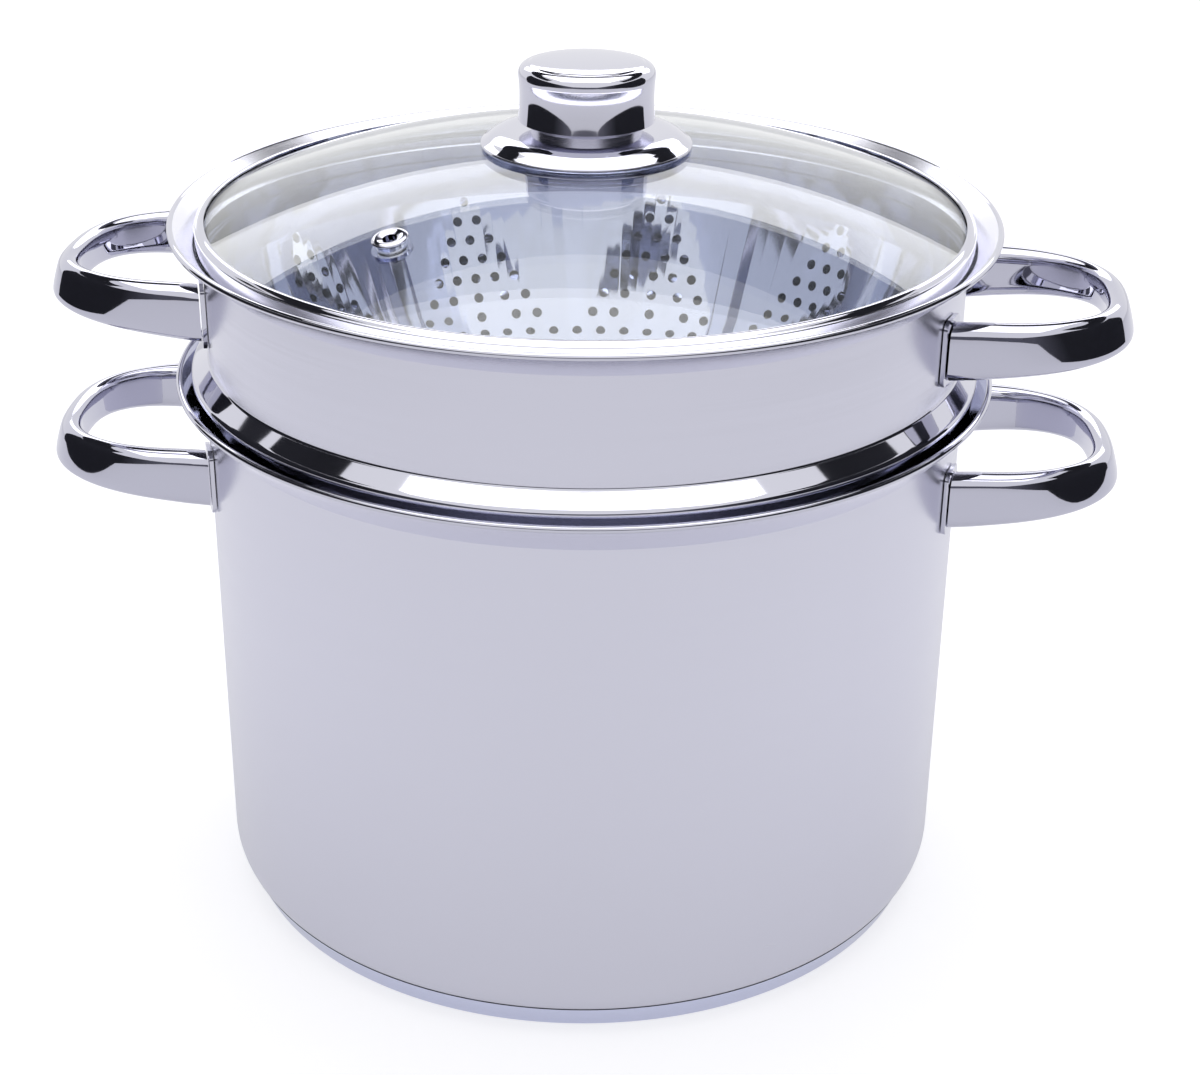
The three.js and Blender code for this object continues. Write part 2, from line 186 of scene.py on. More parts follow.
# Fineness of the turned pieces
WIDE_STEPS = 192
SMALL_STEPS = 96
ARC_STEPS = 10
DOME_STEPS = 16
MERGE = 1e-6
MITRE_LIMIT = 0.5
SMOOTH_ANGLE = math.radians(32)


# Lines and arcs of a turned piece's section, as (radius, height) points
def arc(radius, height, bend, start, end, steps=ARC_STEPS):
    angles = [math.radians(start + (end - start) * i / steps) for i in range(steps + 1)]
    return [(radius + bend * math.cos(a), height + bend * math.sin(a)) for a in angles]


def mouth(radius, lip_radius, top, flare):
    lip = arc(lip_radius - LIP_BEAD, top - LIP_BEAD, LIP_BEAD, LIP_FROM, LIP_TO)
    start = top - flare
    return [(radius, start), *lip, (radius - SHEET, start)]


def mouth_seat(radius, lip_radius, top, flare, at):
    over, foot = mouth(radius, lip_radius, top, flare)[-2:]
    return foot[1] + (at - foot[0]) * (over[1] - foot[1]) / (over[0] - foot[0])


def inner_line(line, thickness):
    """The other face of a sheet, to the left of the given line."""
    made = []
    for i, here in enumerate(line):
        before = Vector(line[max(i - 1, 0)])
        after = Vector(line[min(i + 1, len(line) - 1)])
        spot = Vector(here)
        arriving = (spot - before if i else after - spot).normalized()
        leaving = (after - spot if i < len(line) - 1 else arriving).normalized()
        middle = (arriving + leaving).normalized()
        reach = thickness / max(middle.dot(leaving), MITRE_LIMIT)
        made.append((spot.x - middle.y * reach, spot.y + middle.x * reach))
    return made


# Heights shared by pieces that stack
def corner_under(radius):
    across = radius - (POT_RADIUS - POT_CORNER)
    return POT_FLOOR + POT_CORNER - math.sqrt(POT_CORNER**2 - across**2)


FLANGE_FOOT = mouth_seat(POT_RADIUS, POT_LIP_RADIUS, POT_HEIGHT, POT_FLARE, SEAT_RADIUS) + FIT
FLANGE_TOP = FLANGE_FOOT + FLANGE_RISE + FLANGE_DROP
COLANDER_TOP = FLANGE_TOP + BAND_WALL
BASKET_RADIUS = BAND_RADIUS - SHEET - FIT
COLLAR_TOP = COLANDER_TOP - BAND_FLARE - COLLAR_BELOW_FLARE
CONE_TOP = COLLAR_TOP - COLLAR_HEIGHT
BASKET_FLOOR = COLLAR_TOP - BASKET_DEPTH
LID_FOOT = mouth_seat(BAND_RADIUS, BAND_LIP_RADIUS, COLANDER_TOP, BAND_FLARE, LID_RADIUS) + FIT
GLASS_RADIUS = LID_RADIUS - LID_SHEET - FIT
GLASS_FOOT = LID_FOOT + LID_SHEET + FIT
DOME_CENTRE = GLASS_FOOT + GLASS_THICK - math.sqrt(DOME_RADIUS**2 - GLASS_RADIUS**2)


def dome_top(radius):
    return DOME_CENTRE + math.sqrt(DOME_RADIUS**2 - radius**2)


FLANGE_SEAT = dome_top(0) + FIT + SEAL_THICK
KNOB_FOOT = FLANGE_SEAT + KNOB_FLANGE_THICK
KNOB_TOP = KNOB_FOOT + KNOB_HEIGHT


def cone_radius(height):
    return BASKET_RADIUS - (CONE_TOP - height) * math.tan(BASKET_TAPER)


# Modelling moves
def deselect():
    bpy.ops.object.select_all(action="DESELECT")


def turned(name, section, steps=WIDE_STEPS):
    """Draws a section point by point and spins it about the pot's axis."""
    deselect()
    bpy.ops.mesh.primitive_plane_add(size=MM)
    piece = bpy.context.object
    piece.name = name
    bpy.ops.object.mode_set(mode="EDIT")
    bpy.ops.mesh.merge(type="CENTER")
    here = section[0]
    bpy.ops.transform.translate(value=(here[0] * MM, 0, here[1] * MM))
    for spot in section[1:]:
        move = ((spot[0] - here[0]) * MM, 0, (spot[1] - here[1]) * MM)
        bpy.ops.mesh.extrude_vertices_move(TRANSFORM_OT_translate={"value": move})
        here = spot
    bpy.ops.mesh.select_all(action="SELECT")
    bpy.ops.mesh.spin(steps=steps, angle=2 * math.pi, center=(0, 0, 0), axis=(0, 0, 1))
    bpy.ops.mesh.select_all(action="SELECT")
    bpy.ops.mesh.remove_doubles(threshold=MERGE)
    bpy.ops.mesh.normals_make_consistent(inside=False)
    bpy.ops.object.mode_set(mode="OBJECT")
    bpy.ops.object.shade_smooth_by_angle(angle=SMOOTH_ANGLE)
    return piece


def turned_ring(name, section, steps=WIDE_STEPS):
    return turned(name, [*section, section[0]], steps)


def pick(piece):
    deselect()
    piece.select_set(True)
    bpy.context.view_layer.objects.active = piece


def cut(piece, cutter, operation="DIFFERENCE"):
    """Takes the cutter's shape out of a piece, or keeps only what lies in it, and removes the cutter."""
    pick(piece)
    modifier = piece.modifiers.new("cut", "BOOLEAN")
    modifier.operation = operation
    modifier.solver = "EXACT"
    modifier.object = cutter
    bpy.ops.object.modifier_apply(modifier="cut")
    bpy.data.objects.remove(cutter)
    bpy.ops.object.shade_smooth_by_angle(angle=SMOOTH_ANGLE)
    return piece


def copy_of(piece, name):
    pick(piece)
    bpy.ops.object.duplicate()
    made = bpy.context.object
    made.name = name
    return made


def settle(piece):
    """Puts a piece's place and turn into its mesh."""
    pick(piece)
    bpy.ops.object.transform_apply(location=True, rotation=True, scale=True)
    return piece


def wear(piece, *finishes):
    piece.data.materials.clear()
    for finish in finishes:
        piece.data.materials.append(finish)


def seat(piece, body, slot, *nodes):
    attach(piece, body)
    if nodes:
        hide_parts(*nodes)


# Finishes
def linear(hexcode):
    """An sRGB hex colour as linear red, green, blue and alpha."""
    parts = [int(hexcode[i:i + 2], 16) / 255 for i in (0, 2, 4)]
    return [c / 12.92 if c <= 0.04045 else ((c + 0.055) / 1.055) ** 2.4 for c in parts] + [1]


def add(tree, kind, **settings):
    """Adds a node; each setting is a property, a value for an input or a socket to link to it."""
    node = tree.nodes.new(kind)
    for name, value in settings.items():
        if hasattr(node, name):
            setattr(node, name, value)
            continue
        title = name.replace("_", " ")
        place = int(title.removeprefix("input ")) if title.startswith("input ") else title
        if isinstance(value, bpy.types.NodeSocket):
            tree.links.new(value, node.inputs[place])
        else:
            node.inputs[place].default_value = value
    return node


def blank(name):
    material = bpy.data.materials.new(name)
    material.use_nodes = True
    tree = material.node_tree
    shader = tree.nodes["Principled BSDF"]
    return material, tree, shader


def satin_steel(name, colour):
    """18/10 stainless steel, satin polished on a lathe: fine lines round the wall soften what it mirrors."""
    material, tree, shader = blank(name)
    shader.inputs["Base Color"].default_value = linear(colour)
    shader.inputs["Metallic"].default_value = 1
    place = add(tree, "ShaderNodeTexCoord")
    # The real lines are finer; at this spacing they still show
    line_mm = 0.9
    line_length_mm = 111
    line_depth_mm = 0.02
    scale = [1 / (size * MM) for size in (line_length_mm, line_length_mm, line_mm)]
    stretch = add(tree, "ShaderNodeMapping", Scale=scale, Vector=place.outputs["Object"])
    lines = add(tree, "ShaderNodeTexNoise", Scale=1, Detail=3, Vector=stretch.outputs[0])
    rough = add(tree, "ShaderNodeMapRange", To_Min=0.19, To_Max=0.3, Value=lines.outputs[0])
    tree.links.new(rough.outputs[0], shader.inputs["Roughness"])
    bump = add(tree, "ShaderNodeBump", Strength=0.06, Distance=line_depth_mm * MM, Height=lines.outputs[0])
    tree.links.new(bump.outputs[0], shader.inputs["Normal"])
    return material


def mirror_steel(name, colour, low, high):
    """Stainless steel buffed to a mirror: near even, with a faint haze left by the buffing wheel."""
    material, tree, shader = blank(name)
    shader.inputs["Base Color"].default_value = linear(colour)
    shader.inputs["Metallic"].default_value = 1
    place = add(tree, "ShaderNodeTexCoord")
    haze_mm = 14
    haze = add(tree, "ShaderNodeTexNoise", Scale=1 / (haze_mm * MM), Detail=4,
               Vector=place.outputs["Object"])
    rough = add(tree, "ShaderNodeMapRange", To_Min=low, To_Max=high, Value=haze.outputs[0])
    tree.links.new(rough.outputs[0], shader.inputs["Roughness"])
    return material


def clear_glass():
    """Toughened soda-lime glass: clear and smooth, a little blue-grey through its edge."""
    material, tree, shader = blank("toughened_glass")
    shader.inputs["Base Color"].default_value = linear("f4f7fb")
    shader.inputs["Transmission Weight"].default_value = 1
    shader.inputs["IOR"].default_value = 1.5
    place = add(tree, "ShaderNodeTexCoord")
    film_mm = 30
    film = add(tree, "ShaderNodeTexNoise", Scale=1 / (film_mm * MM), Detail=2,
               Vector=place.outputs["Object"])
    rough = add(tree, "ShaderNodeMapRange", To_Min=0, To_Max=0.02, Value=film.outputs[0])
    tree.links.new(rough.outputs[0], shader.inputs["Roughness"])
    return material


def pressed_aluminium():
    """Pressed aluminium: dull pale grey with a fine mottled grain."""
    material, tree, shader = blank("pressed_aluminium")
    shader.inputs["Metallic"].default_value = 1
    place = add(tree, "ShaderNodeTexCoord")
    grain_mm = 2
    grain = add(tree, "ShaderNodeTexNoise", Scale=1 / (grain_mm * MM), Vector=place.outputs["Object"])
    shade = add(tree, "ShaderNodeMix", data_type="RGBA", Factor=grain.outputs[0],
                input_6=linear("aeb0b4"), input_7=linear("bcbec2"))
    tree.links.new(shade.outputs[2], shader.inputs["Base Color"])
    rough = add(tree, "ShaderNodeMapRange", To_Min=0.4, To_Max=0.55, Value=grain.outputs[0])
    tree.links.new(rough.outputs[0], shader.inputs["Roughness"])
    return material


def silicone_rubber():
    """Moulded translucent-grey silicone: a soft sheen, faintly mottled."""
    material, tree, shader = blank("silicone_rubber")
    place = add(tree, "ShaderNodeTexCoord")
    grain_mm = 1
    grain = add(tree, "ShaderNodeTexNoise", Scale=1 / (grain_mm * MM), Vector=place.outputs["Object"])
    shade = add(tree, "ShaderNodeMix", data_type="RGBA", Factor=grain.outputs[0],
                input_6=linear("b4b7be"), input_7=linear("c2c5cb"))
    tree.links.new(shade.outputs[2], shader.inputs["Base Color"])
    shader.inputs["Roughness"].default_value = 0.55
    return material


SATIN = satin_steel("satin_stainless_steel", "dcdce8")
# Satin steel painted lighter for the flares below the lips: painted light that makes up for the shaded floor
# they mirror
FLARE_PAINTED_LIGHT = satin_steel("satin_steel_flare_painted_light", "f0f0fa")
MIRROR = mirror_steel("buffed_stainless_steel", "d0d0dc", 0.03, 0.06)
INSIDE = mirror_steel("drawn_stainless_steel", "e0e2ee", 0.04, 0.07)
# The collar's steel is painted darker: painted shade for the dimmer look of the colander's inside under the
# glass lid
COLLAR_PAINTED_SHADE = mirror_steel("collar_steel_painted_shade", "9a9eb6", 0.05, 0.1)
# The heat base's steel is painted lighter and bluer: painted light that makes up for the shaded floor it
# mirrors
BASE_PAINTED_LIGHT = mirror_steel("base_steel_painted_light", "dfe3fb", 0.14, 0.22)
HANDLE = mirror_steel("pressed_stainless_handle", "c6c6d4", 0.03, 0.06)
GLASS = clear_glass()
ALUMINIUM = pressed_aluminium()
SILICONE = silicone_rubber()


# Faces take a finish by their place, some of them steel painted lighter or darker for light and shade
def finish_by_place(piece, finishes, choose):
    wear(piece, *finishes)
    for face in piece.data.polygons:
        radius = math.hypot(face.center.x, face.center.y) / MM
        outward = face.normal.x * face.center.x + face.normal.y * face.center.y
        face.material_index = choose(radius, face.center.z / MM, outward)


# Pot
def pot_body():
    centre = POT_RADIUS - POT_CORNER
    section = [
        (0, POT_FLOOR),
        *arc(centre, POT_FLOOR + POT_CORNER, POT_CORNER, -90, 0),
        *mouth(POT_RADIUS, POT_LIP_RADIUS, POT_HEIGHT, POT_FLARE),
        *arc(centre, POT_FLOOR + POT_CORNER, POT_CORNER - SHEET, 0, -90),
        (0, POT_FLOOR + SHEET),
    ]
    piece = turned("pot_body", section)
    lip = POT_LIP_RADIUS - LIP_POLISHED

    def choose(radius, height, outward):
        if radius > lip and height > POT_HEIGHT - LIP_POLISHED:
            return 1
        if outward < 0:
            return 2
        # the flare gets the satin steel painted lighter
        return 3 if height > POT_HEIGHT - POT_FLARE else 0

    finish_by_place(piece, (SATIN, MIRROR, INSIDE, FLARE_PAINTED_LIGHT), choose)
    seat(piece, "pot", "steel", "pot_shell")


def base_pan():
    inner = CAP_RADIUS - CAP_SHEET
    section = [
        (0, 0),
        *arc(BASE_RADIUS - BASE_EDGE, BASE_EDGE, BASE_EDGE, -90, BASE_EDGE_TO),
        (CAP_RADIUS, corner_under(CAP_RADIUS) - FIT),
        (inner, corner_under(inner) - FIT),
        (BASE_RADIUS - CAP_SHEET, BASE_EDGE),
        (BASE_RADIUS - BASE_EDGE, CAP_SHEET),
        (0, CAP_SHEET),
    ]
    piece = turned("base_pan", section)
    # The base pan wears the steel painted lighter
    wear(piece, BASE_PAINTED_LIGHT)
    seat(piece, "pot", "polished", "base_cap")


# Colander
def colander_collar():
    edge = FLANGE_RADIUS - FLANGE_EDGE
    rounded = arc(edge, FLANGE_TOP - FLANGE_DROP, FLANGE_EDGE, FLANGE_EDGE_FROM, FLANGE_EDGE_TO)
    brink = Vector(rounded[-1])
    corner = Vector((BAND_RADIUS, FLANGE_TOP))
    slope = math.atan2(corner.y - brink.y, brink.x - corner.x)
    rise = FLANGE_FOLD * math.tan(math.pi / 4 - slope / 2)
    outer = [
        (SEAT_RADIUS, FLANGE_FOOT),
        *rounded,
        tuple(brink.lerp(corner, FLANGE_BRINK)),
        *arc(BAND_RADIUS + FLANGE_FOLD, FLANGE_TOP + rise, FLANGE_FOLD, 270 - math.degrees(slope), 180),
    ]
    inner = inner_line([*outer, (BAND_RADIUS, COLANDER_TOP)], SHEET)[:len(outer)]
    section = [
        *outer,
        *mouth(BAND_RADIUS, BAND_LIP_RADIUS, COLANDER_TOP, BAND_FLARE),
        *reversed(inner),
    ]
    piece = turned_ring("colander_collar", section)
    lip = BAND_LIP_RADIUS - LIP_POLISHED

    def choose(radius, height, outward):
        if height < FLANGE_TOP + rise or (radius > lip and height > COLANDER_TOP - LIP_POLISHED):
            return 1
        # the flare gets the satin steel painted lighter
        flared = height > COLANDER_TOP - BAND_FLARE
        if flared:
            return 3
        # the inside of the band gets the steel painted darker
        return 2 if outward < 0 else 0

    finish_by_place(piece, (SATIN, MIRROR, COLLAR_PAINTED_SHADE, FLARE_PAINTED_LIGHT), choose)
    seat(piece, "colander", "steel", "colander_band")


def motif_rows():
    """Holes of one motif in steps of the hole pitch: a triangle, then rows that fork apart."""
    rows = [[i - row / 2 for i in range(row + 1)] for row in range(TRIANGLE_ROWS)]
    for row in range(FORK_ROWS):
        near = FORK_GAP + row * FORK_SPREAD
        rows.append([-near - FORK_STEP, -near, 0, near, near + FORK_STEP])
    return rows


def hole_places():
    """Each wall hole of one motif as a height and an angle from the motif's middle."""
    places = []
    for row, offsets in enumerate(motif_rows()):
        height = CONE_TOP - (FIRST_ROW + row * ROW_PITCH) * math.cos(BASKET_TAPER)
        places += [(height, offset * HOLE_PITCH / cone_radius(height)) for offset in offsets]
    height = CONE_TOP - (FIRST_ROW + len(motif_rows()) * ROW_PITCH) * math.cos(BASKET_TAPER)
    step = 2 * math.pi / (MOTIFS * RING_HOLES)
    return places + [(height, i * step) for i in range(RING_HOLES)]


def punch():
    """One round punch standing on the axis, copied for every hole."""
    deselect()
    bpy.ops.mesh.primitive_cylinder_add(
        vertices=HOLE_SIDES, radius=HOLE_RADIUS * MM, depth=PUNCH_LENGTH * MM)
    return bpy.context.object


def punches():
    first = punch()
    copies = []
    for height, angle in hole_places():
        for motif in range(MOTIFS):
            round_angle = MOTIF_TURN + COLANDER_TURN + angle + 2 * math.pi * motif / MOTIFS
            made = copy_of(first, "punch")
            tilt = Matrix.Rotation(math.pi / 2 + BASKET_TAPER, 4, "Y")
            shift = Matrix.Translation((cone_radius(height) * MM, 0, height * MM))
            made.matrix_world = Matrix.Rotation(round_angle, 4, "Z") @ shift @ tilt
            copies.append(made)
    for ring in range(FLOOR_RINGS + 1):
        count = max(6 * ring, 1)
        for i in range(count):
            made = copy_of(first, "punch")
            shift = Matrix.Translation((ring * FLOOR_PITCH * MM, 0, BASKET_FLOOR * MM))
            made.matrix_world = Matrix.Rotation(2 * math.pi * i / count, 4, "Z") @ shift
            copies.append(made)
    bpy.data.objects.remove(first)
    deselect()
    for made in copies:
        made.select_set(True)
    bpy.context.view_layer.objects.active = copies[0]
    bpy.ops.object.join()
    return settle(bpy.context.object)


def colander_bowl():
    drop = BASKET_CORNER * (1 - math.sin(BASKET_TAPER))
    foot = cone_radius(BASKET_FLOOR + drop) - BASKET_CORNER * math.cos(BASKET_TAPER)
    outer = [
        (0, BASKET_FLOOR),
        *arc(foot, BASKET_FLOOR + BASKET_CORNER, BASKET_CORNER, -90, -math.degrees(BASKET_TAPER)),
        (BASKET_RADIUS, CONE_TOP),
        (BASKET_RADIUS, COLLAR_TOP),
    ]
    inner = inner_line(outer, SHEET)
    piece = turned("colander_bowl", [*outer, *reversed(inner)])
    cut(piece, punches())
    # The upright collar above the cone gets the steel painted darker
    finish_by_place(piece, (INSIDE, COLLAR_PAINTED_SHADE), lambda radius, height, outward: int(height > CONE_TOP))
    seat(piece, "colander", "steel", "colander_basket", "colander_floor")


# Handles
def handle_height(x):
    share = (x - POT_RADIUS) / HANDLE_REACH
    return HANDLE_ROOT + (HANDLE_GRIP - HANDLE_ROOT) * share


def squared(share, power):
    return math.copysign(abs(share) ** power, share)


def handle_stations():
    """The loop's middle line in plan with its heading: leg, squared half oval, leg."""
    bend = POT_RADIUS + HANDLE_STRAIGHT
    reach = HANDLE_REACH - HANDLE_THICK / 2 - HANDLE_STRAIGHT
    start = math.sqrt(POT_RADIUS**2 - (HANDLE_LEG + HANDLE_THICK)**2) - HANDLE_THICK
    along = 2 / HANDLE_SQUARENESS
    across = 2 - along
    stations = [(start, -HANDLE_LEG, 0)]
    for i in range(HANDLE_BEND_STEPS + 1):
        turn = math.pi * (i / HANDLE_BEND_STEPS - 0.5)
        cos = max(math.cos(turn), 0)
        sin = math.sin(turn)
        facing = math.atan2(squared(sin, across) / HANDLE_LEG, squared(cos, across) / reach)
        spot = (bend + reach * squared(cos, along), HANDLE_LEG * squared(sin, along))
        stations.append((*spot, facing + math.pi / 2))
    return [*stations, (start, HANDLE_LEG, math.pi)]


def lean_inward(piece, stations):
    """Leans the outer face of the loop inwards round the bend, most at its top edge."""
    vertices = piece.data.vertices
    around = len(vertices) // len(stations)
    for i, vertex in enumerate(vertices):
        x, y, heading = stations[i // around]
        outward = Vector((math.sin(heading), -math.cos(heading), 0))
        across = (vertex.co / MM - Vector((x, y, 0))).dot(outward) / HANDLE_THICK + 0.5
        rise = 1 + vertex.co.z / MM / handle_height(x)
        bent = min(math.sin(heading) / HANDLE_LEAN_FROM, 1)
        lean = HANDLE_LEAN * MM * bent * across * max(rise, 0) ** HANDLE_LEAN_CURVE
        vertex.co -= outward * lean


def loop_handle():
    """A rounded section drawn along the loop, its top edge level and its lower edge rising to the grip."""
    stations = handle_stations()
    x, y, heading = stations[0]
    height = handle_height(x)
    deselect()
    bpy.ops.mesh.primitive_plane_add(size=1, rotation=(0, math.pi / 2, 0))
    piece = settle(bpy.context.object)
    bpy.ops.object.mode_set(mode="EDIT")
    bpy.ops.mesh.select_all(action="SELECT")
    bpy.ops.transform.resize(value=(1, HANDLE_THICK * MM, height * MM), center_override=(0, 0, 0))
    bpy.ops.transform.translate(value=(x * MM, y * MM, -height / 2 * MM))
    bpy.ops.mesh.bevel(offset=HANDLE_ROUND * MM, segments=HANDLE_ROUND_STEPS, affect="VERTICES")
    for next_x, next_y, next_heading in stations[1:]:
        move = ((next_x - x) * MM, (next_y - y) * MM, 0)
        bpy.ops.mesh.extrude_region_move(TRANSFORM_OT_translate={"value": move})
        middle = (next_x * MM, next_y * MM, 0)
        bpy.ops.transform.rotate(value=-(next_heading - heading), orient_axis="Z", center_override=middle)
        next_height = handle_height(next_x)
        bpy.ops.transform.resize(value=(1, 1, next_height / height), center_override=middle)
        x, y, heading, height = next_x, next_y, next_heading, next_height
    bpy.ops.mesh.select_all(action="SELECT")
    bpy.ops.mesh.normals_make_consistent(inside=False)
    bpy.ops.object.mode_set(mode="OBJECT")
    lean_inward(piece, stations)
    smooth = piece.modifiers.new("smooth", "SUBSURF")
    smooth.levels = 1
    smooth.render_levels = 1
    bpy.ops.object.modifier_apply(modifier="smooth")
    clear = POT_RADIUS + FIT + PAD_THICK + FIT
    deep = 2 * HANDLE_ROOT
    cut(piece, turned("wall_cut", [(0, -deep), (clear, -deep), (clear, deep), (0, deep)]))
    return piece


def weld_pad(wall):
    """A round-cornered plate bent to the wall, made where the +X axis meets it."""
    low = -HANDLE_ROOT
    inside = wall + FIT
    outside = inside + PAD_THICK
    piece = turned_ring("pad", [(inside, low), (outside, low), (outside, -low), (inside, -low)])
    deselect()
    bpy.ops.mesh.primitive_cube_add(size=1, location=(wall * MM, 0, 0))
    window = bpy.context.object
    width = HANDLE_THICK + 2 * PAD_MARGIN
    height = HANDLE_ROOT + 2 * PAD_MARGIN
    window.scale = (HANDLE_THICK * MM, width * MM, height * MM)
    settle(window)
    bpy.ops.object.mode_set(mode="EDIT")
    bpy.ops.mesh.select_all(action="DESELECT")
    bpy.ops.object.mode_set(mode="OBJECT")
    for edge in window.data.edges:
        ends = [window.data.vertices[i].co for i in edge.vertices]
        edge.select = abs(ends[0].x - ends[1].x) > MM
    bpy.ops.object.mode_set(mode="EDIT")
    bpy.ops.mesh.bevel(offset=PAD_ROUND * MM, segments=PAD_ROUND_STEPS, affect="EDGES")
    bpy.ops.object.mode_set(mode="OBJECT")
    return cut(piece, window, "INTERSECT")


def handles():
    loop = loop_handle()
    pot_top = POT_HEIGHT - POT_HANDLE_DROP
    colander_top = COLANDER_TOP - COLANDER_HANDLE_DROP
    vessels = (("pot", POT_RADIUS, pot_top, 0), ("colander", BAND_RADIUS, colander_top, COLANDER_TURN))
    for vessel, wall, top, turn in vessels:
        pad = weld_pad(wall)
        splay = math.asin(HANDLE_LEG / (wall + FIT + PAD_THICK / 2))
        for side, half_turn in (("right", 0), ("left", math.pi)):
            facing = Matrix.Rotation(turn + half_turn, 4, "Z")
            made = copy_of(loop, f"{vessel}_loop_{side}")
            made.matrix_world = facing @ Matrix.Translation(((wall - POT_RADIUS) * MM, 0, top * MM))
            settle(made)
            wear(made, HANDLE)
            seat(made, vessel, "polished", f"{vessel}_handle_{side}")
            front = -splay if side == "right" else splay
            for end, angle in (("front", front), ("back", -front)):
                made = copy_of(pad, f"{vessel}_pad_{side}_{end}")
                lift = Matrix.Translation((0, 0, (top - HANDLE_ROOT / 2) * MM))
                made.matrix_world = facing @ Matrix.Rotation(angle, 4, "Z") @ lift
                settle(made)
                wear(made, MIRROR)
                seat(made, vessel, "polished", f"{vessel}_bracket_{side}_{end}")
        bpy.data.objects.remove(pad)
    bpy.data.objects.remove(loop)


# Lid
def dome_line(start, end, under):
    radii = [start + (end - start) * i / DOME_STEPS for i in range(DOME_STEPS + 1)]
    return [(r, dome_top(r) - under) for r in radii]


def at_vent(piece):
    """Stands a piece made on the axis at the vent, square to the glass."""
    away = math.hypot(*VENT)
    out = Vector((*VENT, dome_top(away) - DOME_CENTRE)).normalized()
    turn = Vector((0, 0, 1)).rotation_difference(out).to_matrix().to_4x4()
    place = Matrix.Translation((VENT[0] * MM, VENT[1] * MM, dome_top(away) * MM))
    piece.matrix_world = place @ turn
    return settle(piece)


def lid_dome():
    section = [*dome_line(SCREW_HOLE, GLASS_RADIUS, 0), *dome_line(GLASS_RADIUS, SCREW_HOLE, GLASS_THICK)]
    piece = turned_ring("lid_dome", section)
    deep = 2 * GLASS_THICK
    drill = turned("vent_drill", [(0, -deep), (VENT_HOLE, -deep), (VENT_HOLE, deep), (0, deep)], SMALL_STEPS)
    cut(piece, at_vent(drill))
    wear(piece, GLASS)
    seat(piece, "lid", "glass", "lid_glass")


def lid_ring():
    lip = LID_RADIUS - LID_LIP
    wall = LID_RADIUS - LID_SHEET
    crown = dome_top(wall) + FIT + LID_SHEET
    rounded = arc(LID_RADIUS - LID_SHEET, crown - LID_SHEET, LID_SHEET, 0, LID_EDGE_TO)
    outside = Vector(rounded[-1])
    inside = Vector((lip, dome_top(lip) + FIT + LID_SHEET))
    bead = []
    for i in range(1, ARC_STEPS):
        share = i / ARC_STEPS
        spot = outside.lerp(inside, share)
        bead.append((spot.x, spot.y + LID_BULGE * 4 * share * (1 - share)))
    section = [
        (lip, LID_FOOT),
        (LID_RADIUS - LID_SHEET, LID_FOOT),
        (LID_RADIUS, LID_FOOT + LID_SHEET),
        *rounded,
        *bead,
        tuple(inside),
        (lip, dome_top(lip) + FIT),
        (wall, dome_top(wall) + FIT),
        (wall, LID_FOOT + LID_SHEET),
        (lip, LID_FOOT + LID_SHEET),
    ]
    piece = turned_ring("lid_ring", section)
    wear(piece, MIRROR)
    seat(piece, "lid", "polished", "lid_band")


def vent_ring():
    tube = VENT_HOLE - FIT
    foot = -GLASS_THICK - 2 * FIT - WASHER_THICK
    bulge = (VENT_FLANGE - VENT_BORE) / 2
    half = VENT_FLANGE_THICK / 2
    middle = VENT_FLANGE - bulge
    crown = [(middle + (r - middle) * bulge / half, z) for r, z in arc(middle, FIT + half, half, -90, 90)]
    section = [(VENT_BORE, foot), (tube, foot), (tube, FIT), *crown, (VENT_BORE, FIT + half)]
    piece = at_vent(turned_ring("vent_ring", section, SMALL_STEPS))
    wear(piece, MIRROR)
    seat(piece, "lid", "polished", "vent_eyelet")


def vent_backing():
    high = -GLASS_THICK - FIT
    low = high - WASHER_THICK
    section = [(VENT_HOLE, low), (WASHER_RADIUS, low), (WASHER_RADIUS, high), (VENT_HOLE, high)]
    piece = at_vent(turned_ring("vent_backing", section, SMALL_STEPS))
    wear(piece, MIRROR)
    seat(piece, "lid", "polished", "vent_washer")


def knob_plate():
    edge_foot = dome_top(KNOB_FLANGE_RADIUS) + FIT
    half = KNOB_FLANGE_EDGE / 2
    neck = KNOB_NECK + 1
    across = KNOB_FLANGE_RADIUS - half - neck
    drop = KNOB_FOOT - edge_foot - KNOB_FLANGE_EDGE
    crown = [(neck + across * (1 - i / ARC_STEPS), KNOB_FOOT - drop * (1 - i / ARC_STEPS)**KNOB_FLANGE_FALL)
             for i in range(1, ARC_STEPS + 1)]
    section = [
        (SCREW_HOLE, FLANGE_SEAT),
        (SEAL_RADIUS, FLANGE_SEAT),
        *arc(KNOB_FLANGE_RADIUS - half, edge_foot + half, half, -90, KNOB_FLANGE_EDGE_TO),
        *crown,
        (SCREW_HOLE, KNOB_FOOT),
    ]
    piece = turned_ring("knob_plate", section, SMALL_STEPS)
    wear(piece, MIRROR)
    seat(piece, "lid", "polished", "knob_flange")


